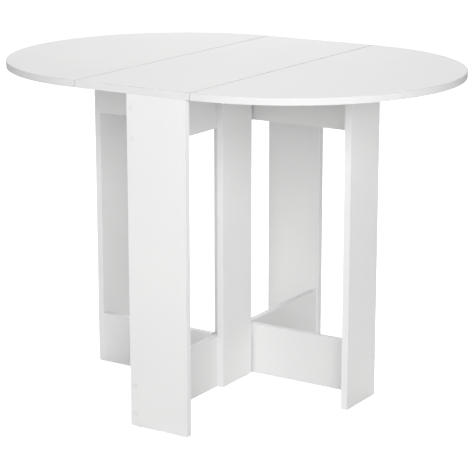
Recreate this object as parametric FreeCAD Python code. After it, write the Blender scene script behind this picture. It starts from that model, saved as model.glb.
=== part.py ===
"""Gateleg table with an oval top: a fixed middle strip, two drop leaves and two swinging gates.

The frame is Z-shaped in plan. Two end legs, offset to opposite sides, are joined by a spine of two
boards, and a post stands against each side of the spine. A gate hinged on each side of the spine
swings out under its leaf. The table looks the same after half a turn about Z, so every piece of the
left side is made from the right side by that half turn.

Origin at the middle of the floor under the table. +X along the length, +Y across, +Z up.
"""
import FreeCAD, Part
import os

V = FreeCAD.Vector

# Top
table_length = 1030.0
table_width = 760.0
table_height = 716.0
strip_width = 280.0  # the fixed middle strip, from seam to seam
board = 15.0  # every board's thickness
seam_gap = 2.0
band = 1.0  # edge band's thickness
arris = 0.4  # rounding of the boards' long edges
band_rounding = 0.8  # rounding of the edge bands' outer edges

# Frame
end_leg_inset = 1.0  # end leg's outer face, in from the end of the strip
end_leg_to_seam = 11.5  # end leg's outer edge, in from the seam
apron_width = 118.0
stretcher_width = 115.0
post_width = 119.0
post_to_gate = 6.5  # from a post's edge to the face of the rails beside it
glide_height = 2.0
glide_radius = 6.0

# Gates
pivot_out = 65.0  # gate hinge pins, out from the middle of the spine along Y
pivot_off_spine = 4.0  # gate hinge pins, off the spine's face
rail_end_gap = 4.0  # from the pins to the end of the rails
fold_clearance = 1.0  # from a folded gate's leg to the end leg beside it
seam_clearance = 2.0  # from a folded gate's leg to the seam
gate_drop = 7.0  # gate's top edges, below the underside of the top
pad_clearance = 0.3
pad_length = 40.0
pad_width = 13.0
pad_from_edge = 26.5  # pad's middle, in from the leg's edge
pad_rounding = 1.5

# Hinges
knuckle_radius = 3.0
pin_radius = 1.25
fixed_fit = 0.02  # radial clearance of a pin in the knuckles that hold it
running_fit = 0.06  # radial clearance of a pin in the knuckles that turn
hinge_length = 60.0
turning_knuckle = 20.0
knuckle_gap = 0.3
plate = 1.5
plate_reach = 30.0  # from the pin to a plate's far edge
plate_gap = 3.5  # from the pin to a plate's near edge
hinge_screw_steps = (-20.0, 0.0, 20.0)  # along the pin, from the hinge's middle
hinge_screw_shift = 1.0  # screws, beyond the middle of the plate's width
leaf_hinge_out = 250.0  # leaf hinges, out from the middle along Y
leaf_pin_drop = 3.0  # leaf hinge pins, below the underside of the top

# Fasteners, each turned profile a list of (first radius, last radius, length) from the head inwards
screw_edge = 28.0  # joint screws, in from the edges of the board whose end they hold
joint_screw = [(4.8, 4.8, 2.0), (4.8, 3.5, 2.0), (3.5, 3.5, board - 4.0), (2.5, 2.5, 33.0)]
hinge_screw = [(3.2, 1.6, plate), (1.6, 1.6, 11.0)]
post_screw_bite = 9.0  # length in the post, past the spine board
post_screw = [(4.0, 2.0, 2.2), (2.0, 2.0, board + post_screw_bite)]
cap_radius = 6.5
cap_thickness = 0.5
dowel_radius = 4.0
dowel_length = 30.0
dowel_in_face = 10.0
fastener_fit = 0.05
nail = (0.9, 0.9, 10.0)

# Brackets that hold the strip on the frame
bracket_arm = 25.0
bracket_width = 40.0
bracket_thickness = 2.0
bracket_out = 225.0  # spine brackets, out from the middle along Y
bracket_screw_reach = 15.0  # screws, from the corner along each arm
bracket_screw_out = 10.0  # screws, to each side of the arm's middle
bracket_screw = [(3.4, 1.7, bracket_thickness), (1.7, 1.7, 10.0)]

# Stop blocks that end the gates' swing
stop_length = 24.0
stop_width = 20.0
stop_height = 16.0
stop_clearance = 0.5
stop_rounding = 1.0
stop_screw_bite = 8.0  # length in the leaf, past the block
stop_screw_shares = (0.25, 0.75)  # places of the screws along the block
stop_screw = [(3.5, 1.75, 2.0), (1.75, 1.75, stop_height + stop_screw_bite)]

# Places worked out from the sizes above
half_length = table_length / 2
half_width = table_width / 2
seam = strip_width / 2
underside = table_height - board
spine_face = board / 2
end_leg_face = half_width - end_leg_inset
end_leg_back = end_leg_face - board
pivot = V(spine_face + pivot_off_spine, pivot_out, 0)
rail_back = pivot.y - plate
rail_front = rail_back - board
rail_start = pivot.x + rail_end_gap
end_leg_edge = pivot.x + plate - fold_clearance
gate_leg_face = pivot.x + end_leg_face - pivot.y
gate_leg_back = gate_leg_face - board
gate_leg_width = seam - seam_clearance - (pivot.x + plate)
gate_leg_edge = rail_back - gate_leg_width
gate_top = underside - gate_drop
apron_bottom = underside - apron_width
stretcher_top = glide_height + stretcher_width
post_edge = rail_front - post_to_gate
post_far_edge = post_edge - post_width
leaf_pin = V(seam, 0, underside - leaf_pin_drop)

X, Y, Z = V(1, 0, 0), V(0, 1, 0), V(0, 0, 1)


def box(corner, opposite):
    """A box between two opposite corners, in any order."""
    low = V(*[min(a, b) for a, b in zip(corner, opposite)])
    size = V(*[abs(a - b) for a, b in zip(corner, opposite)])
    return Part.makeBox(size.x, size.y, size.z, low)


def plank(corner, opposite, grain):
    """A board whose edges along its length are rounded."""
    solid = box(corner, opposite)
    long_edges = [e for e in solid.Edges if abs(e.tangentAt(e.FirstParameter).dot(grain)) > 0.99]
    return solid.makeFillet(arris, long_edges)


def eased(solid, radius, level):
    """A block with its edges rounded, apart from those on the level where it is fixed."""
    free = [e for e in solid.Edges if e.BoundBox.ZLength + abs(e.BoundBox.ZMin - level) > 1e-6]
    return solid.makeFillet(radius, free)


def turned(start, direction, profile, clearance=0.0):
    """A solid turned about an axis. With a clearance it is the hole that the solid fits."""
    points, depth = [V(0, 0, -clearance)], -clearance
    for first, last, length in profile:
        points += [V(first + clearance, 0, depth), V(last + clearance, 0, max(depth, 0) + length)]
        depth = max(depth, 0) + length
    points[-1].z += clearance
    points += [V(0, 0, points[-1].z), points[0]]
    corners = [p for n, p in enumerate(points) if n == 0 or (p - points[n - 1]).Length > 1e-6]
    solid = Part.Face(Part.makePolygon(corners)).revolve(V(0, 0, 0), Z, 360)
    solid.Placement = FreeCAD.Placement(start, FreeCAD.Rotation(Z, direction))
    return solid


def rod(radius, start, direction, length):
    return Part.makeCylinder(radius, length, start, direction)


def half_turn(shape):
    copy = shape.copy()
    copy.rotate(V(0, 0, 0), Z, 180)
    return copy


def cut(solid, tools):
    return solid.cut(tools) if tools else solid


def holes(fasteners):
    """The holes for a list of (start, direction, profile) fasteners."""
    return [turned(*f, clearance=fastener_fit) for f in fasteners]


def both_sides(shapes):
    return shapes + [half_turn(s) for s in shapes]


# Hinges


def hinge_plate(middle, axis, away, normal, face, knuckles, fit):
    """One half of a butt hinge, on a board's face that is a distance from the pin along normal."""

    def block(near, far, low, high):
        return box(
            middle + away * near + normal * (face - plate) + axis * low,
            middle + away * far + normal * face + axis * high,
        )

    half = hinge_length / 2
    pieces = [block(plate_gap, plate_reach, -half, half)]
    for low, high in knuckles:
        pieces.append(block(0, plate_gap, low, high))
        pieces.append(rod(knuckle_radius, middle + axis * low, axis, high - low))
    bore = rod(pin_radius + fit, middle - axis * hinge_length, axis, 2 * hinge_length)
    solid = pieces[0].fuse(pieces[1:]).removeSplitter().cut(bore)
    return solid.cut(holes(hinge_plate_screws(middle, axis, away, normal, face))).Solids[0]


def hinge_plate_screws(middle, axis, away, normal, face):
    across = (plate_gap + plate_reach) / 2 + hinge_screw_shift
    start = middle + away * across + normal * (face - plate)
    return [(start + axis * along, normal, hinge_screw) for along in hinge_screw_steps]


half_hinge = hinge_length / 2
half_turning = turning_knuckle / 2
holding_knuckles = [(-half_hinge, -half_turning), (half_turning, half_hinge)]
turning_knuckles = [(-half_turning + knuckle_gap, half_turning - knuckle_gap)]

gate_hinge_middles = [
    pivot + Z * (glide_height + stretcher_width / 2),
    pivot + Z * ((apron_bottom + gate_top) / 2),
]
leaf_hinge_middles = [leaf_pin - Y * leaf_hinge_out, leaf_pin + Y * leaf_hinge_out]

# (axis, away, normal, face) of each plate, from its pin
gate_frame_side = (Z, Y, -X, pivot_off_spine)
gate_rail_side = (Z, X, -Y, plate)
leaf_strip_side = (Y, -X, Z, leaf_pin_drop)
leaf_leaf_side = (Y, X, Z, leaf_pin_drop)


def hinge_set(middles, frame_side, moving_side):
    axis = frame_side[0]
    return {
        "frame_plates": [hinge_plate(m, *frame_side, holding_knuckles, fixed_fit) for m in middles],
        "moving_plates": [hinge_plate(m, *moving_side, turning_knuckles, running_fit) for m in middles],
        "pins": [rod(pin_radius, m - axis * half_hinge, axis, hinge_length) for m in middles],
        "frame_screws": [s for m in middles for s in hinge_plate_screws(m, *frame_side)],
        "moving_screws": [s for m in middles for s in hinge_plate_screws(m, *moving_side)],
    }


gate_hinges = hinge_set(gate_hinge_middles, gate_frame_side, gate_rail_side)
leaf_hinges = hinge_set(leaf_hinge_middles, leaf_strip_side, leaf_leaf_side)


# Joints of a board's end against another board's face


def end_joint(face_point, direction, low, high):
    """Screws, caps and a dowel that hold a board, from low to high, by its end.

    face_point is on the outer face of the board that the screws pass through."""
    heights = (low + screw_edge, high - screw_edge)
    screws = [(V(face_point.x, face_point.y, z), direction, joint_screw) for z in heights]
    caps = [rod(cap_radius, s[0], -direction, cap_thickness) for s in screws]
    start = V(face_point.x, face_point.y, (low + high) / 2) + direction * (board - dowel_in_face)
    dowel = (start, direction, [(dowel_radius, dowel_radius, dowel_length)])
    return {"screws": screws, "caps": caps, "dowels": [dowel]}


def merged(joints):
    return {k: [x for j in joints for x in j[k]] for k in joints[0]}


front_joint = merged(
    [
        end_joint(V(0, -end_leg_face, 0), Y, apron_bottom, underside),
        end_joint(V(0, -end_leg_face, 0), Y, glide_height, stretcher_top),
    ]
)
rail_middle = (rail_front + rail_back) / 2
gate_joint = merged(
    [
        end_joint(V(gate_leg_face, rail_middle, 0), -X, apron_bottom, gate_top),
        end_joint(V(gate_leg_face, rail_middle, 0), -X, glide_height, stretcher_top),
    ]
)

# The right post is screwed from the far side of the spine, beyond the edge of the left post
post_screw_y = (post_far_edge - post_edge) / 2
post_screws = [
    (V(-spine_face, post_screw_y, z), X, post_screw)
    for low, high in ((apron_bottom, underside), (glide_height, stretcher_top))
    for z in (low + screw_edge, high - screw_edge)
]


# Brackets


def bracket(corner, out, along):
    """An angle bracket in the corner under the strip. out leaves the upright board's face."""
    half = along * (bracket_width / 2)
    down = box(corner - half, corner + half + out * bracket_thickness - Z * bracket_arm)
    flat = box(corner - half, corner + half + out * bracket_arm - Z * bracket_thickness)
    return down.fuse(flat).removeSplitter().cut(holes(bracket_fasteners(corner, out, along))).Solids[0]


def bracket_fasteners(corner, out, along):
    down, flat = -Z * bracket_screw_reach, out * bracket_screw_reach
    sides = (along * bracket_screw_out, along * -bracket_screw_out)
    into_upright = [(corner + s + out * bracket_thickness + down, -out, bracket_screw) for s in sides]
    into_strip = [(corner + s + flat - Z * bracket_thickness, Z, bracket_screw) for s in sides]
    return into_upright + into_strip


end_leg_outer_edge = seam - end_leg_to_seam
bracket_places = [
    (V(spine_face, -bracket_out, underside), X, Y),
    (V((spine_face + end_leg_outer_edge) / 2, -end_leg_back, underside), Y, X),
]
bracket_screws = [f for place in bracket_places for f in bracket_fasteners(*place)]


# Glides


def glides(points):
    return [(V(x, y, 0), Z, [(glide_radius, glide_radius, glide_height), nail]) for x, y in points]


glide_in = 18.0  # glides, in from the edges of the boards they carry
end_leg_middle = -(end_leg_face + end_leg_back) / 2
post_middle = spine_face + board / 2
front_leg_glides = glides(
    [(-end_leg_edge + glide_in, end_leg_middle), (end_leg_outer_edge - glide_in, end_leg_middle)]
)
post_glides = glides([(post_middle, post_far_edge + glide_in), (post_middle, post_edge - glide_in)])
gate_leg_middle = (gate_leg_face + gate_leg_back) / 2
gate_glides = glides(
    [(gate_leg_middle, gate_leg_edge + glide_in), (gate_leg_middle, rail_back - glide_in)]
)


# Top panels


def oval_half(inset):
    """The right leaf's plan, as a solid: half an oval from the seam outwards, in from its edge."""
    centre = V(seam, 0, underside)
    across = V(seam, half_width - inset, underside)
    along = V(half_length - inset, 0, underside)
    wide = half_width >= half_length - seam
    curve = Part.Ellipse(*((across, along) if wide else (along, across)), centre)
    oval = Part.Face(Part.Wire(curve.toShape())).extrude(Z * board)
    start = seam + seam_gap / 2 + inset
    return oval.common(box(V(start, -half_width, underside), V(half_length, half_width, table_height)))


def rounded_outside(solid, inner):
    """The band round a panel: the panel's outline less its core, with the outer edges rounded."""
    level = [e for e in solid.Edges if e.BoundBox.ZLength < 1e-6]
    return solid.makeFillet(band_rounding, level).cut(inner).Solids[0]


def strip_solid(inset):
    x, y = seam - seam_gap / 2 - inset, half_width - inset
    return box(V(-x, -y, underside), V(x, y, table_height))


gate_stop_low = V(gate_leg_middle - stop_length / 2, gate_leg_edge - stop_clearance, underside)
gate_stop = eased(
    box(gate_stop_low, gate_stop_low + V(stop_length, -stop_width, -stop_height)),
    stop_rounding,
    underside,
)
stop_screws = [
    (gate_stop_low + V(x, -stop_width / 2, -stop_height), Z, stop_screw)
    for x in (stop_length * share for share in stop_screw_shares)
]


# Nodes

nodes = {}

strip_fasteners = leaf_hinges["frame_screws"] + bracket_screws
strip_holes = both_sides(holes(strip_fasteners))
nodes["centre_panel"] = [cut(strip_solid(band), strip_holes)]
nodes["centre_panel_edge_band"] = [rounded_outside(strip_solid(0.0), strip_solid(band))]

end_leg = plank(
    V(-end_leg_edge, -end_leg_face, glide_height), V(end_leg_outer_edge, -end_leg_back, underside), Z
)
end_leg_fasteners = front_joint["screws"] + front_joint["dowels"] + front_leg_glides + bracket_screws
nodes["front_end_leg"] = [cut(end_leg, holes(end_leg_fasteners))]
nodes["rear_end_leg"] = [half_turn(nodes["front_end_leg"][0])]

spine_fasteners = (
    front_joint["screws"]
    + front_joint["dowels"]
    + post_screws
    + bracket_screws
    + gate_hinges["frame_screws"]
)
spine_holes = both_sides(holes(spine_fasteners))


def spine_board(low, high):
    ends = V(-spine_face, -end_leg_back, low), V(spine_face, end_leg_back, high)
    return cut(plank(*ends, Y), spine_holes)


nodes["spine_apron"] = [spine_board(apron_bottom, underside)]
nodes["spine_stretcher"] = [spine_board(glide_height, stretcher_top)]

post = plank(
    V(spine_face, post_far_edge, glide_height), V(spine_face + board, post_edge, underside), Z
)
nodes["right_post"] = [cut(post, holes(post_screws + post_glides))]
nodes["left_post"] = [half_turn(nodes["right_post"][0])]

nodes["frame_screws"] = both_sides([turned(*f) for f in front_joint["screws"]])
nodes["frame_screw_caps"] = both_sides(front_joint["caps"])
nodes["frame_dowels"] = both_sides([turned(*f) for f in front_joint["dowels"]])
nodes["post_screws"] = both_sides([turned(*f) for f in post_screws])
nodes["top_brackets"] = both_sides([bracket(*place) for place in bracket_places])
nodes["top_bracket_screws"] = both_sides([turned(*f) for f in bracket_screws])
nodes["frame_glides"] = both_sides([turned(*f) for f in front_leg_glides + post_glides])
nodes["frame_hinge_screws"] = both_sides(
    [turned(*f) for f in gate_hinges["frame_screws"] + leaf_hinges["frame_screws"]]
)

rail_fasteners = (
    gate_joint["screws"] + gate_joint["dowels"] + gate_hinges["moving_screws"] + gate_glides
)
rail_holes = holes(rail_fasteners)


def rail(low, high):
    return cut(plank(V(rail_start, rail_front, low), V(gate_leg_back, rail_back, high), X), rail_holes)


gate_leg = plank(
    V(gate_leg_back, gate_leg_edge, glide_height), V(gate_leg_face, rail_back, gate_top), Z
)
pad_top = underside - pad_clearance
pad_half = V(pad_width / 2, pad_length / 2, 0)
pad_middles = [
    V(gate_leg_middle, gate_leg_edge + pad_from_edge, gate_top),
    V(gate_leg_middle, rail_back - pad_from_edge, gate_top),
]

right_side = {
    "gate_hinge_frame_plates": gate_hinges["frame_plates"],
    "gate_hinge_pins": gate_hinges["pins"],
    "leaf_hinge_strip_plates": leaf_hinges["frame_plates"],
    "leaf_hinge_pins": leaf_hinges["pins"],
    "gate_upper_rail": [rail(apron_bottom, gate_top)],
    "gate_lower_rail": [rail(glide_height, stretcher_top)],
    "gate_leg": [cut(gate_leg, rail_holes)],
    "gate_hinge_rail_plates": gate_hinges["moving_plates"],
    "gate_hinge_screws": [turned(*f) for f in gate_hinges["moving_screws"]],
    "gate_screws": [turned(*f) for f in gate_joint["screws"]],
    "gate_screw_caps": gate_joint["caps"],
    "gate_dowels": [turned(*f) for f in gate_joint["dowels"]],
    "gate_glides": [turned(*f) for f in gate_glides],
    "gate_top_pads": [
        eased(box(m - pad_half, V(m.x, m.y, pad_top) + pad_half), pad_rounding, gate_top)
        for m in pad_middles
    ],
    "leaf_panel": [cut(oval_half(band), holes(leaf_hinges["moving_screws"] + stop_screws))],
    "leaf_edge_band": [rounded_outside(oval_half(0.0), oval_half(band))],
    "leaf_hinge_leaf_plates": leaf_hinges["moving_plates"],
    "leaf_hinge_screws": [turned(*f) for f in leaf_hinges["moving_screws"]],
    "leaf_gate_stop": [cut(gate_stop, holes(stop_screws))],
    "leaf_gate_stop_screws": [turned(*f) for f in stop_screws],
}
for name, solids in right_side.items():
    nodes["right_" + name] = solids
    nodes["left_" + name] = [half_turn(s) for s in solids]

os.makedirs("parts", exist_ok=True)
for name, solids in nodes.items():
    pieces = [s for shape in solids for s in shape.Solids]
    shape = pieces[0] if len(pieces) == 1 else Part.makeCompound(pieces)
    shape.exportStep("parts/" + name + ".step")
print(len(nodes), "nodes")
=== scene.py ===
import math

import bpy
from mathutils import Matrix, Vector


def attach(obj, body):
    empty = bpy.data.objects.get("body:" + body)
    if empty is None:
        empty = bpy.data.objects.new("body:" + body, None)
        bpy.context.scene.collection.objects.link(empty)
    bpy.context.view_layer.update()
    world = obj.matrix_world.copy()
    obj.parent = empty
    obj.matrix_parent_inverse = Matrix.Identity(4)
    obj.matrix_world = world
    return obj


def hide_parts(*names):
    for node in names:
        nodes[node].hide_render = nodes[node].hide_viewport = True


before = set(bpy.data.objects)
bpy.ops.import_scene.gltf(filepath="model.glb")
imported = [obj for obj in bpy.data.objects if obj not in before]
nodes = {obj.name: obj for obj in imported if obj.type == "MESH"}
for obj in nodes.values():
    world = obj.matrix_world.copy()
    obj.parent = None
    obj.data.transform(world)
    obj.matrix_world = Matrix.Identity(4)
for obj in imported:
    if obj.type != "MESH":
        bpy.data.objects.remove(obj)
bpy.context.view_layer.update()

mm = 0.001
print("frame loaded:", len(nodes), "nodes")


# camera and studio

cameraSettings = {
    "azimuth": 32.2,  # degrees, from looking along +Y
    "elevation": 14.3,
    "distance": 4.0,
    "lens": 139.5,
    "aim": (0.014, -0.014, 0.335),
    "sensorWidth": 36.0,
    "sight": 200.0,  # metres
}
studio = {
    "floorSide": 80.0,
    "sweep": {"Base Color": "#F4F4F4", "Roughness": 0.9, "Specular IOR Level": 0.2,
              "Emission Color": (1, 1, 1, 1)},
    "glow": {1: 0.85},  # keeps the floor white without lighting the table from below
    "room": {"Color": (1, 1, 1, 1)},
    "roomStrength": {"To Min": 0.25, "To Max": 1.0},  # on the table, and as the camera sees it
    "softboxAim": (0.0, 0.0, 0.4),
    "softboxReach": 4.0,
    "softboxSide": 1.6,
    "softboxes": {  # azimuth, elevation, watts
        "keySoftbox": (32, 25, 81.0),
        "leftSoftbox": (-60, 25, 13.5),
        "rightSoftbox": (60, 12, 19.0),
        "backSoftbox": (-150, 45, 89.0),
    },
}


def hexToLinear(code):
    # sRGB hex to the linear values that a shader wants
    channels = [int(code[i:i + 2], 16) / 255 for i in (1, 3, 5)]
    return [c / 12.92 if c <= 0.04045 else ((c + 0.055) / 1.055) ** 2.4 for c in channels] + [1.0]


def addNode(tree, kind, settings=None, values=None, links=None):
    # a colour may be given as sRGB hex, and a link from a whole node starts at its first output in use
    node = tree.nodes.new(kind)
    for name, value in (settings or {}).items():
        setattr(node, name, value)
    for socket, value in (values or {}).items():
        node.inputs[socket].default_value = hexToLinear(value) if isinstance(value, str) else value
    for socket, source in (links or {}).items():
        if isinstance(source, bpy.types.Node):
            source = [output for output in source.outputs if output.enabled][0]
        tree.links.new(source, node.inputs[socket])
    return node


def directionAt(azimuth, elevation):
    a, e = math.radians(azimuth), math.radians(elevation)
    return Vector((math.sin(a) * math.cos(e), -math.cos(a) * math.cos(e), math.sin(e)))


def newMaterial(name):
    material = bpy.data.materials.new(name)
    material.use_nodes = True
    material.node_tree.nodes.clear()
    return material, material.node_tree, addNode(material.node_tree, "ShaderNodeTexCoord")


def makeCamera(s):
    back = directionAt(s["azimuth"], s["elevation"])
    bpy.ops.object.camera_add(location=Vector(s["aim"]) + back * s["distance"])
    camera = bpy.context.object
    camera.name = "tableCamera"
    camera.rotation_euler = (-back).to_track_quat("-Z", "Y").to_euler()
    camera.data.sensor_width = s["sensorWidth"]
    camera.data.lens = s["lens"]
    camera.data.clip_end = s["sight"]
    bpy.context.scene.camera = camera


def makeSoftboxes(s):
    for name, (azimuth, elevation, watts) in s["softboxes"].items():
        towards = directionAt(azimuth, elevation)
        bpy.ops.object.light_add(type="AREA", location=Vector(s["softboxAim"]) + towards * s["softboxReach"])
        light = bpy.context.object
        light.name = name
        light.data.shape = "SQUARE"
        light.data.size = s["softboxSide"]
        light.data.energy = watts
        light.rotation_euler = (-towards).to_track_quat("-Z", "Y").to_euler()
        light.visible_camera = False


def makeFloor(s):
    bpy.ops.mesh.primitive_plane_add(size=s["floorSide"], location=(0, 0, 0))
    floor = bpy.context.object
    floor.name = "paperFloor"
    material, tree, place = newMaterial("whitePaperSweep")  # matt paper, lit until it is plain white
    seen = addNode(tree, "ShaderNodeLightPath").outputs["Is Camera Ray"]
    glow = addNode(tree, "ShaderNodeMath", {"operation": "MULTIPLY"}, s["glow"], {0: seen})
    sweep = addNode(tree, "ShaderNodeBsdfPrincipled", values=s["sweep"], links={"Emission Strength": glow})
    # clear from below, to show the underside of the table
    clear = addNode(tree, "ShaderNodeBsdfTransparent")
    under = addNode(tree, "ShaderNodeNewGeometry").outputs["Backfacing"]
    oneSided = addNode(tree, "ShaderNodeMixShader", links={0: under, 1: sweep, 2: clear})
    addNode(tree, "ShaderNodeOutputMaterial", links={"Surface": oneSided})
    floor.data.materials.append(material)


def makeWorld(s):
    bpy.context.scene.view_settings.view_transform = "Standard"
    world = bpy.data.worlds.new("studioRoom")
    bpy.context.scene.world = world
    world.use_nodes = True
    tree = world.node_tree
    tree.nodes.clear()
    seen = addNode(tree, "ShaderNodeLightPath").outputs["Is Camera Ray"]
    strength = addNode(tree, "ShaderNodeMapRange", values=s["roomStrength"], links={"Value": seen})
    room = addNode(tree, "ShaderNodeBackground", values=s["room"], links={"Strength": strength})
    addNode(tree, "ShaderNodeOutputWorld", links={"Surface": room})


makeCamera(cameraSettings)
makeSoftboxes(studio)
makeFloor(studio)
makeWorld(studio)
print("camera and studio made")


# finishes

noiseSpan = {"From Min": 0.3, "From Max": 0.7}  # nearly all of a noise lies between these


def perMetre(sizeMm):
    # how often a pattern of this size in mm repeats in a metre
    return 1000.0 / sizeMm


melamineBoard = {  # the values of each node; 6 and 7 are the two colours of a mix
    "broad": {1: 0.9},  # how squarely a face looks along the thickness to be a broad one
    "cloud": {"Scale": perMetre(220.0), "Detail": 2.0},  # slow drift of tone in the paper
    "pearl": {"Scale": perMetre(1.4), "Detail": 3.0},  # the real one is 0.3 mm, drawn coarser to show
    "trim": {"Scale": perMetre(0.9), "Detail": 1.0},  # marks of the trimming cutter along the band
    "paper": {6: "#ECECEC", 7: "#F1F1F0"},
    "band": {6: "#EFEFEF"},
    "paperGloss": {**noiseSpan, "To Min": 0.58, "To Max": 0.66},
    "bandGloss": {**noiseSpan, "To Min": 0.52, "To Max": 0.6},
    "relief": {"Strength": 0.6, "Distance": 0.012 * mm},
    "board": {"Specular IOR Level": 0.15},
}


def makeMelamineBoard(s, thickness):
    # Melamine paper hot-pressed on particle board, with ironed-on banding on the narrow sides. The press
    # plate leaves a fine pearl in a matt gloss, and the band is a little smoother and brighter than the paper.
    material, tree, place = newMaterial("melamineBoardThick" + thickness)
    spot = {"Vector": place.outputs["Object"]}
    facing = addNode(tree, "ShaderNodeSeparateXYZ", links={"Vector": place.outputs["Normal"]})
    square = addNode(tree, "ShaderNodeMath", {"operation": "ABSOLUTE"}, links={0: facing.outputs[thickness]})
    broad = addNode(tree, "ShaderNodeMath", {"operation": "GREATER_THAN"}, s["broad"], {0: square})
    cloud = addNode(tree, "ShaderNodeTexNoise", values=s["cloud"], links=spot)
    pearl = addNode(tree, "ShaderNodeTexNoise", values=s["pearl"], links=spot)
    trim = addNode(tree, "ShaderNodeTexNoise", values=s["trim"], links=spot)
    paper = addNode(tree, "ShaderNodeMix", {"data_type": "RGBA"}, s["paper"], {"Factor": cloud})
    colour = addNode(tree, "ShaderNodeMix", {"data_type": "RGBA"}, s["band"], {"Factor": broad, 7: paper})
    paperGloss = addNode(tree, "ShaderNodeMapRange", values=s["paperGloss"], links={"Value": pearl})
    bandGloss = addNode(tree, "ShaderNodeMapRange", values=s["bandGloss"], links={"Value": trim})
    gloss = addNode(tree, "ShaderNodeMix", links={"Factor": broad, 2: bandGloss, 3: paperGloss})
    height = addNode(tree, "ShaderNodeMix", links={"Factor": broad, 2: trim, 3: pearl})
    relief = addNode(tree, "ShaderNodeBump", values=s["relief"], links={"Height": height})
    board = addNode(tree, "ShaderNodeBsdfPrincipled", values=s["board"],
                    links={"Base Color": colour, "Roughness": gloss, "Normal": relief})
    addNode(tree, "ShaderNodeOutputMaterial", links={"Surface": board})
    return material


absBand = {
    "level": {1: 0.995},  # how squarely a face looks up or down to be the level strip that takes the glue line and its painted seam shade
    "tone": {"Scale": perMetre(60.0), "Detail": 2.0},
    "millStretch": {"Scale": (1.0, 1.0, 0.15)},
    "mill": {"Scale": perMetre(1.2), "Detail": 2.0},  # cutter marks, drawn coarser so that they show
    "plastic": {6: "#E3E3E3", 7: "#E8E8E7"},
    "glueLineAndSeamShade": {7: "#A9A7A2"},  # the hot-melt line between band and paper, 0.2 mm wide, drawn far darker than glue as painted shade in the seams
    "gloss": {**noiseSpan, "To Min": 0.5, "To Max": 0.58},
    "relief": {"Strength": 0.5, "Distance": 0.008 * mm},
    "band": {"Specular IOR Level": 0.15},
}


def makeAbsBand(s):
    # Extruded ABS edge band, 1 mm thick, its edges rounded by the trimmer: smoother than the paper, with faint
    # cutter marks, and a fine grey line on its level strip where it meets the paper, partly the glue line and
    # partly painted shade that darkens the seams between the panels
    material, tree, place = newMaterial("whiteAbsBand")
    spot = {"Vector": place.outputs["Object"]}
    facing = addNode(tree, "ShaderNodeSeparateXYZ", links={"Vector": place.outputs["Normal"]})
    square = addNode(tree, "ShaderNodeMath", {"operation": "ABSOLUTE"}, links={0: facing.outputs["Z"]})
    level = addNode(tree, "ShaderNodeMath", {"operation": "GREATER_THAN"}, s["level"], {0: square})
    tone = addNode(tree, "ShaderNodeTexNoise", values=s["tone"], links=spot)
    stretch = addNode(tree, "ShaderNodeMapping", values=s["millStretch"], links=spot)
    mill = addNode(tree, "ShaderNodeTexNoise", values=s["mill"], links={"Vector": stretch})
    plastic = addNode(tree, "ShaderNodeMix", {"data_type": "RGBA"}, s["plastic"], {"Factor": tone})
    # the level strip takes the dark grey: partly the real glue line, partly painted shade standing in for the
    # shade in the seams
    colour = addNode(tree, "ShaderNodeMix", {"data_type": "RGBA"}, s["glueLineAndSeamShade"], {"Factor": level, 6: plastic})
    gloss = addNode(tree, "ShaderNodeMapRange", values=s["gloss"], links={"Value": mill})
    relief = addNode(tree, "ShaderNodeBump", values=s["relief"], links={"Height": mill})
    band = addNode(tree, "ShaderNodeBsdfPrincipled", values=s["band"],
                   links={"Base Color": colour, "Roughness": gloss, "Normal": relief})
    addNode(tree, "ShaderNodeOutputMaterial", links={"Surface": band})
    return material


mouldedPlastic = {
    "whitePolyethyleneCap": {
        "cloud": {"Scale": perMetre(6.0), "Detail": 2.0},
        "grain": {"Scale": perMetre(0.5), "Detail": 3.0},
        "colours": {6: "#E7E7E7", 7: "#ECECEC"},
        "gloss": {**noiseSpan, "To Min": 0.38, "To Max": 0.5},
        "relief": {"Strength": 0.6, "Distance": 0.01 * mm},
        "plastic": {"IOR": 1.51},
    },
    "nylonGlide": {
        "cloud": {"Scale": perMetre(6.0), "Detail": 2.0},
        "grain": {"Scale": perMetre(1.1), "Detail": 3.0},
        "colours": {6: "#DEDCD5", 7: "#E6E4DE"},
        "gloss": {**noiseSpan, "To Min": 0.34, "To Max": 0.52},
        "relief": {"Strength": 0.6, "Distance": 0.02 * mm},
        "plastic": {"IOR": 1.51},
    },
}


def makeMouldedPlastic(name, s):
    # Injection-moulded plastic: a spark-eroded mould gives it a fine even grain and a soft gloss
    material, tree, place = newMaterial(name)
    spot = {"Vector": place.outputs["Object"]}
    cloud = addNode(tree, "ShaderNodeTexNoise", values=s["cloud"], links=spot)
    grain = addNode(tree, "ShaderNodeTexNoise", values=s["grain"], links=spot)
    colour = addNode(tree, "ShaderNodeMix", {"data_type": "RGBA"}, s["colours"], {"Factor": cloud})
    gloss = addNode(tree, "ShaderNodeMapRange", values=s["gloss"], links={"Value": grain})
    relief = addNode(tree, "ShaderNodeBump", values=s["relief"], links={"Height": grain})
    plastic = addNode(tree, "ShaderNodeBsdfPrincipled", values=s["plastic"],
                      links={"Base Color": colour, "Roughness": gloss, "Normal": relief})
    addNode(tree, "ShaderNodeOutputMaterial", links={"Surface": plastic})
    return material


zincPlate = {
    "cloud": {"Scale": perMetre(4.0), "Detail": 4.0},  # the cloudy bloom of the plating
    "scratchStretch": {"Scale": (1.0, 0.12, 1.0)},
    "scratch": {"Scale": perMetre(0.5), "Detail": 2.0},  # tumbling marks, drawn coarser so that they show
    "colours": {6: "#B9BEC4", 7: "#D2D5D8"},
    "gloss": {"From Min": 0.15, "From Max": 0.4, "To Min": 0.22, "To Max": 0.42},
    "relief": {"Strength": 0.6, "Distance": 0.01 * mm},
    "metal": {"Metallic": 1.0},
}


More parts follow.
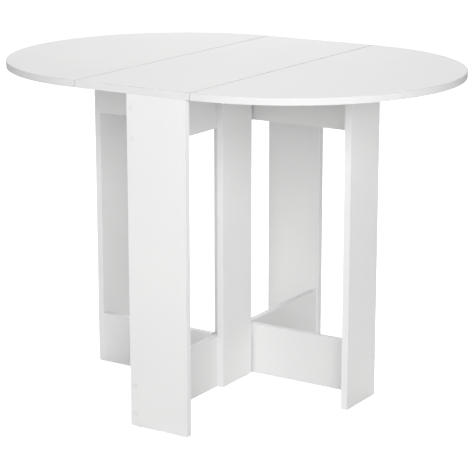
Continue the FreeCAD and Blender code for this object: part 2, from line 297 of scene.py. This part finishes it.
def makeZincPlate(s):
    # Bright zinc electroplated on pressed steel: bluish grey metal with a cloudy bloom and tumbling marks
    material, tree, place = newMaterial("brightZincPlate")
    spot = {"Vector": place.outputs["Object"]}
    cloud = addNode(tree, "ShaderNodeTexNoise", values=s["cloud"], links=spot)
    stretch = addNode(tree, "ShaderNodeMapping", values=s["scratchStretch"], links=spot)
    scratch = addNode(tree, "ShaderNodeTexNoise", values=s["scratch"], links={"Vector": stretch})
    marks = addNode(tree, "ShaderNodeMath", {"operation": "MULTIPLY"}, links={0: cloud, 1: scratch})
    colour = addNode(tree, "ShaderNodeMix", {"data_type": "RGBA"}, s["colours"], {"Factor": cloud})
    gloss = addNode(tree, "ShaderNodeMapRange", values=s["gloss"], links={"Value": marks})
    relief = addNode(tree, "ShaderNodeBump", values=s["relief"], links={"Height": scratch})
    metal = addNode(tree, "ShaderNodeBsdfPrincipled", values=s["metal"],
                    links={"Base Color": colour, "Roughness": gloss, "Normal": relief})
    addNode(tree, "ShaderNodeOutputMaterial", links={"Surface": metal})
    return material


beech = {
    "ringStretch": {"Scale": (0.06, 1.0, 1.0)},
    "rings": {"Scale": perMetre(2.2), "Detail": 3.0},  # growth rings across the grain
    "fleckStretch": {"Scale": (0.3, 1.0, 1.0)},
    "flecks": {"Scale": perMetre(0.7), "Detail": 1.0},  # medullary ray flecks, three times as long as wide
    "fleckSpan": {"From Min": 0.62, "From Max": 0.7},
    "colours": {6: "#C79A6B", 7: "#DDB98C"},
    "fleckColour": {7: "#A87447"},
    "gloss": {**noiseSpan, "To Min": 0.5, "To Max": 0.66},
    "relief": {"Strength": 0.5, "Distance": 0.03 * mm},
}


def makeBeech(s):
    # Planed beech, unlacquered: pinkish tan, fine straight grain along X, and short dark ray flecks
    material, tree, place = newMaterial("planedBeech")
    spot = {"Vector": place.outputs["Object"]}
    along = addNode(tree, "ShaderNodeMapping", values=s["ringStretch"], links=spot)
    rings = addNode(tree, "ShaderNodeTexNoise", values=s["rings"], links={"Vector": along})
    short = addNode(tree, "ShaderNodeMapping", values=s["fleckStretch"], links=spot)
    flecks = addNode(tree, "ShaderNodeTexNoise", values=s["flecks"], links={"Vector": short})
    ring = addNode(tree, "ShaderNodeMapRange", values=noiseSpan, links={"Value": rings})
    fleck = addNode(tree, "ShaderNodeMapRange", values=s["fleckSpan"], links={"Value": flecks})
    wood = addNode(tree, "ShaderNodeMix", {"data_type": "RGBA"}, s["colours"], {"Factor": ring})
    colour = addNode(tree, "ShaderNodeMix", {"data_type": "RGBA"}, s["fleckColour"],
                     {"Factor": fleck, 6: wood})
    gloss = addNode(tree, "ShaderNodeMapRange", values=s["gloss"], links={"Value": rings})
    relief = addNode(tree, "ShaderNodeBump", values=s["relief"], links={"Height": flecks})
    planed = addNode(tree, "ShaderNodeBsdfPrincipled",
                     links={"Base Color": colour, "Roughness": gloss, "Normal": relief})
    addNode(tree, "ShaderNodeOutputMaterial", links={"Surface": planed})
    return material


boardThickX = makeMelamineBoard(melamineBoard, "X")
boardThickY = makeMelamineBoard(melamineBoard, "Y")
boardThickZ = makeMelamineBoard(melamineBoard, "Z")
absBandFinish = makeAbsBand(absBand)
capPlastic, glidePlastic = [makeMouldedPlastic(name, s) for name, s in mouldedPlastic.items()]
zincFinish = makeZincPlate(zincPlate)
beechFinish = makeBeech(beech)

finishByEnding = {
    "_edge_band": absBandFinish, "_panel": boardThickZ, "_end_leg": boardThickY,
    "spine_apron": boardThickX, "spine_stretcher": boardThickX, "_post": boardThickX,
    "_gate_upper_rail": boardThickY, "_gate_lower_rail": boardThickY, "_gate_leg": boardThickX,
    "_caps": capPlastic, "_glides": glidePlastic, "_pads": glidePlastic,
    "_dowels": beechFinish, "_gate_stop": beechFinish,
    "_screws": zincFinish, "_plates": zincFinish, "_pins": zincFinish, "_brackets": zincFinish,
}


def finishNodes():
    for name, node in nodes.items():
        finish = [f for ending, f in finishByEnding.items() if name.endswith(ending)][0]
        node.data.materials.clear()
        node.data.materials.append(finish)


finishNodes()
print("finishes made:", len(bpy.data.materials))


# pieces

def deselect():
    bpy.ops.object.select_all(action="DESELECT")


def selectFaces(piece, wanted):
    # selects the faces of the piece in edit mode whose middle and normal pass the test
    bpy.ops.mesh.select_all(action="DESELECT")
    bpy.ops.object.mode_set(mode="OBJECT")
    for face in piece.data.polygons:
        face.select = wanted(face.center, face.normal)
    bpy.ops.object.mode_set(mode="EDIT")
    bpy.ops.mesh.select_mode(type="FACE")


def editNew(piece, name):
    deselect()
    piece.select_set(True)
    bpy.context.view_layer.objects.active = piece
    piece.name = piece.data.name = name
    bpy.ops.object.transform_apply(location=True, rotation=True, scale=True)
    bpy.ops.object.mode_set(mode="EDIT")
    bpy.ops.mesh.select_mode(type="FACE")


def stepInwards(inset, rise):
    # insets the selected face and then moves it along Z, both in mm
    bpy.ops.mesh.inset(thickness=inset * mm, depth=0)
    bpy.ops.transform.translate(value=(0, 0, rise * mm))


def bevelEdges(piece, width, segments=2, angle=40.0):
    # rounds the edges that are sharper than the angle in degrees; the width is in mm
    bevel = piece.modifiers.new("softEdges", "BEVEL")
    bevel.width = width * mm
    bevel.segments = segments
    bevel.limit_method = "ANGLE"
    bevel.angle_limit = math.radians(angle)
    bpy.ops.object.modifier_apply(modifier=bevel.name)


def smoothByAngle(degrees=35.0):
    bpy.ops.object.shade_smooth_by_angle(angle=math.radians(degrees))


squareOn = 0.9  # the least share of a normal that counts as facing up or down

capSettings = {  # mm
    "sides": 48,
    "radius": 6.5,
    "rim": 0.3,
    "steps": ((0.6, 0.0), (0.25, -0.1), (0.3, 0.16), (1.6, 0.09), (2.0, 0.05)),  # inset and rise, inwards
    "softness": 0.1,
}


def makeCap(s):
    bpy.ops.mesh.primitive_cylinder_add(vertices=s["sides"], radius=s["radius"] * mm, depth=s["rim"] * mm,
                                        location=(0, 0, s["rim"] / 2 * mm))
    cap = bpy.context.object
    editNew(cap, "capModel")
    selectFaces(cap, lambda middle, normal: normal.z > squareOn)
    for inset, rise in s["steps"]:
        stepInwards(inset, rise)
    bpy.ops.object.mode_set(mode="OBJECT")
    bevelEdges(cap, s["softness"])
    smoothByAngle()
    cap.data.materials.append(capPlastic)
    return cap


screwSettings = {
    "sides": 32,
    "pointShare": 0.2,  # of the shank's length
    "pointWidth": 0.15,  # of the neck's radius
    "recessFoot": 0.35,  # width of the recess at its bottom, as a share of the top
    "sharpAngle": 60.0,  # degrees; edges sharper than this are softened
    "kinds": {  # mm; recess is length, width and depth of one arm
        "hinge": {"head": 3.2, "rim": 0.2, "neck": 1.6, "headDepth": 1.5, "shank": 11.0, "softness": 0.08,
                  "recess": (3.4, 0.75, 1.1)},
        "bracket": {"head": 3.4, "rim": 0.2, "neck": 1.7, "headDepth": 2.0, "shank": 10.0, "softness": 0.08,
                    "recess": (3.6, 0.8, 1.2)},
        "post": {"head": 4.0, "rim": 0.25, "neck": 2.0, "headDepth": 2.2, "shank": 24.0, "softness": 0.1,
                 "recess": (4.4, 0.9, 1.6)},
        "stop": {"head": 3.5, "rim": 0.2, "neck": 1.75, "headDepth": 2.0, "shank": 24.0, "softness": 0.08,
                 "recess": (3.8, 0.8, 1.3)},
    },
}


def makeScrew(s, kind):
    # stands on its point along -Z, with the top of its head at the origin
    size = s["kinds"][kind]
    rim, neck, shank = size["rim"], size["neck"], size["shank"]
    bpy.ops.mesh.primitive_cylinder_add(vertices=s["sides"], radius=size["head"] * mm, depth=rim * mm,
                                        location=(0, 0, -rim / 2 * mm))
    screw = bpy.context.object
    editNew(screw, "screwModel")
    selectFaces(screw, lambda middle, normal: normal.z < -squareOn)
    depth, radius = rim, size["head"]
    for nextRadius, length in ((neck, size["headDepth"] - rim), (neck, shank * (1 - s["pointShare"])),
                               (neck * s["pointWidth"], shank * s["pointShare"])):
        bpy.ops.mesh.extrude_region_move(TRANSFORM_OT_translate={"value": (0, 0, -length * mm)})
        depth += length
        bpy.ops.transform.resize(value=(nextRadius / radius, nextRadius / radius, 1),
                                 center_override=(0, 0, -depth * mm))
        radius = nextRadius
    bpy.ops.object.mode_set(mode="OBJECT")
    bevelEdges(screw, size["softness"], angle=s["sharpAngle"])
    for turn in (0, 90):
        cutRecess(screw, size["recess"], s["recessFoot"], turn)
    smoothByAngle()
    screw.data.materials.clear()
    screw.data.materials.append(zincFinish)
    return screw


def cutRecess(screw, size, foot, turn):
    # one arm of the cross recess: a slot that narrows to its foot, turned about Z
    long, wide, deep = size
    bpy.ops.mesh.primitive_cube_add(size=1, location=(0, 0, 0))
    cutter = bpy.context.object
    cutter.dimensions = (long * mm, wide * mm, 2 * deep * mm)
    cutter.rotation_euler = (0, 0, math.radians(turn))
    editNew(cutter, "recessCutter")
    selectFaces(cutter, lambda middle, normal: normal.z < -squareOn)
    bpy.ops.transform.resize(value=(foot, foot, 1), center_override=(0, 0, -deep * mm))
    bpy.ops.object.mode_set(mode="OBJECT")
    deselect()
    screw.select_set(True)
    bpy.context.view_layer.objects.active = screw
    recess = screw.modifiers.new("recess", "BOOLEAN")
    recess.operation = "DIFFERENCE"
    recess.solver = "EXACT"
    recess.object = cutter
    bpy.ops.object.modifier_apply(modifier=recess.name)
    bpy.data.objects.remove(cutter)


glideSettings = {  # mm
    "sides": 48,
    "radius": 6.0,
    "height": 2.0,
    "shoulder": 1.0,
    "well": 2.2,
    "wellDepth": 0.7,
    "wellDraft": 0.2,
    "softness": 0.35,
    "softSteps": 3,
    "nailSides": 24,
    "nailHead": 1.9,
    "nailHeadDepth": 0.4,
    "nailHeadRise": 0.25,  # of the head's top above the bottom of the well
    "nail": 0.9,
    "nailShank": 9.0,
    "nailPoint": 1.2,
    "nailPointWidth": 0.2,  # share of the nail's width
    "nailSoftness": 0.12,
    "nailSharpAngle": 60.0,  # degrees
}


def makeGlide(s):
    # a moulded disc with a recessed steel nail; the face that slides on the floor is at the origin, facing +Z
    bpy.ops.mesh.primitive_cylinder_add(vertices=s["sides"], radius=s["radius"] * mm, depth=s["height"] * mm,
                                        location=(0, 0, -s["height"] / 2 * mm))
    disc = bpy.context.object
    editNew(disc, "glideModel")
    selectFaces(disc, lambda middle, normal: normal.z > squareOn)
    stepInwards(s["shoulder"], 0)
    stepInwards(s["radius"] - s["shoulder"] - s["well"], 0)
    stepInwards(s["wellDraft"], -s["wellDepth"])
    bpy.ops.object.mode_set(mode="OBJECT")
    bevelEdges(disc, s["softness"], s["softSteps"])
    smoothByAngle()
    disc.data.materials.append(glidePlastic)
    headMiddle = s["wellDepth"] - s["nailHeadRise"] + s["nailHeadDepth"] / 2
    bpy.ops.mesh.primitive_cylinder_add(vertices=s["nailSides"], radius=s["nailHead"] * mm,
                                        depth=s["nailHeadDepth"] * mm, location=(0, 0, -headMiddle * mm))
    nail = bpy.context.object
    editNew(nail, "nailModel")
    selectFaces(nail, lambda middle, normal: normal.z < -squareOn)
    bpy.ops.mesh.inset(thickness=(s["nailHead"] - s["nail"]) * mm, depth=0)
    bpy.ops.mesh.extrude_region_move(TRANSFORM_OT_translate={"value": (0, 0, -s["nailShank"] * mm)})
    bpy.ops.mesh.extrude_region_move(TRANSFORM_OT_translate={"value": (0, 0, -s["nailPoint"] * mm)})
    bpy.ops.transform.resize(value=(s["nailPointWidth"], s["nailPointWidth"], 1), center_override=(0, 0, 0))
    bpy.ops.object.mode_set(mode="OBJECT")
    bevelEdges(nail, s["nailSoftness"], angle=s["nailSharpAngle"])
    smoothByAngle()
    nail.data.materials.append(zincFinish)
    deselect()
    nail.select_set(True)
    disc.select_set(True)
    bpy.context.view_layer.objects.active = disc
    bpy.ops.object.join()
    return disc


sameSpot = 0.001  # mm, corners nearer than this are one
sameLevel = 0.05  # mm, how near an end a corner counts as on it


def solidPlaces(name):
    # the corners and the points of each separate solid of a CAD node
    copy = nodes[name].copy()
    copy.data = nodes[name].data.copy()
    bpy.context.collection.objects.link(copy)
    editNew(copy, "solidsOf_" + name)
    bpy.ops.mesh.select_all(action="SELECT")
    bpy.ops.mesh.remove_doubles(threshold=sameSpot * mm)
    bpy.ops.mesh.separate(type="LOOSE")
    bpy.ops.object.mode_set(mode="OBJECT")
    places = []
    for solid in list(bpy.context.selected_objects):
        points = [v.co.copy() for v in solid.data.vertices]
        low = Vector([min(p[i] for p in points) for i in range(3)])
        high = Vector([max(p[i] for p in points) for i in range(3)])
        places.append((low, high, points))
        bpy.data.objects.remove(solid)
    return places


def headPlaces(name):
    # where each screw's head is and which way it faces: along the longest side, at the wider end
    places = []
    for low, high, points in solidPlaces(name):
        size, middle = high - low, (low + high) / 2
        axis = max(range(3), key=lambda i: size[i])

        def widthAt(end):
            return max(math.dist([p[i] for i in range(3) if i != axis],
                                 [middle[i] for i in range(3) if i != axis])
                       for p in points if abs(p[axis] - end) < sameLevel * mm)

        facing = Vector((0, 0, 0))
        facing[axis] = 1 if widthAt(high[axis]) > widthAt(low[axis]) else -1
        middle[axis] = high[axis] if facing[axis] > 0 else low[axis]
        places.append((middle, facing))
    return places


def discPlaces(name, facingOf):
    # where each disc's inner face is and which way it faces
    places = []
    for low, high, points in solidPlaces(name):
        middle = (low + high) / 2
        facing = facingOf(middle)
        axis = max(range(3), key=lambda i: abs(facing[i]))
        middle[axis] = low[axis] if facing[axis] > 0 else high[axis]
        places.append((middle, facing))
    return places


def standIn(model, node, places, body):
    # one copy of the model at each place, joined as one piece that stands for the CAD node
    deselect()
    copies = []
    for point, facing in places:
        copy = model.copy()
        copy.data = model.data.copy()
        bpy.context.collection.objects.link(copy)
        copy.matrix_world = Matrix.Translation(point) @ facing.to_track_quat("Z", "Y").to_matrix().to_4x4()
        copies.append(copy)
    bpy.context.view_layer.update()
    for copy in copies:
        copy.select_set(True)
    bpy.context.view_layer.objects.active = copies[0]
    bpy.ops.object.join()
    bpy.ops.object.transform_apply(location=True, rotation=True, scale=True)
    piece = bpy.context.object
    piece.name = piece.data.name = node + "_piece"
    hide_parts(node)
    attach(piece, body)


def outwards(axis):
    # from the middle of the table along one axis
    def facing(middle):
        direction = Vector((0, 0, 0))
        direction[axis] = math.copysign(1, middle[axis])
        return direction
    return facing


def placeCaps():
    cap = makeCap(capSettings)
    standIn(cap, "frame_screw_caps", discPlaces("frame_screw_caps", outwards(1)), "frame")
    for side in ("right", "left"):
        node = side + "_gate_screw_caps"
        standIn(cap, node, discPlaces(node, outwards(0)), side + "_gate")
    bpy.data.objects.remove(cap)


def placeScrews():
    kinds = {"hinge": [("frame_hinge_screws", "frame")], "bracket": [("top_bracket_screws", "frame")],
             "post": [("post_screws", "frame")], "stop": []}
    for side in ("right", "left"):
        kinds["hinge"] += [(side + "_gate_hinge_screws", side + "_gate"),
                           (side + "_leaf_hinge_screws", side + "_leaf")]
        kinds["stop"] += [(side + "_leaf_gate_stop_screws", side + "_leaf")]
    for kind, users in kinds.items():
        screw = makeScrew(screwSettings, kind)
        for node, body in users:
            standIn(screw, node, headPlaces(node), body)
        bpy.data.objects.remove(screw)


def placeGlides():
    glide = makeGlide(glideSettings)
    for node, body in (("frame_glides", "frame"), ("right_gate_glides", "right_gate"),
                       ("left_gate_glides", "left_gate")):
        places = [(Vector((low + high) / 2), Vector((0, 0, -1))) for low, high, points in solidPlaces(node)]
        for point, facing in places:
            point.z = 0.0
        standIn(glide, node, places, body)
    bpy.data.objects.remove(glide)


placeCaps()
print("screw caps made")
placeScrews()
print("screws made")
placeGlides()
print("glides made")
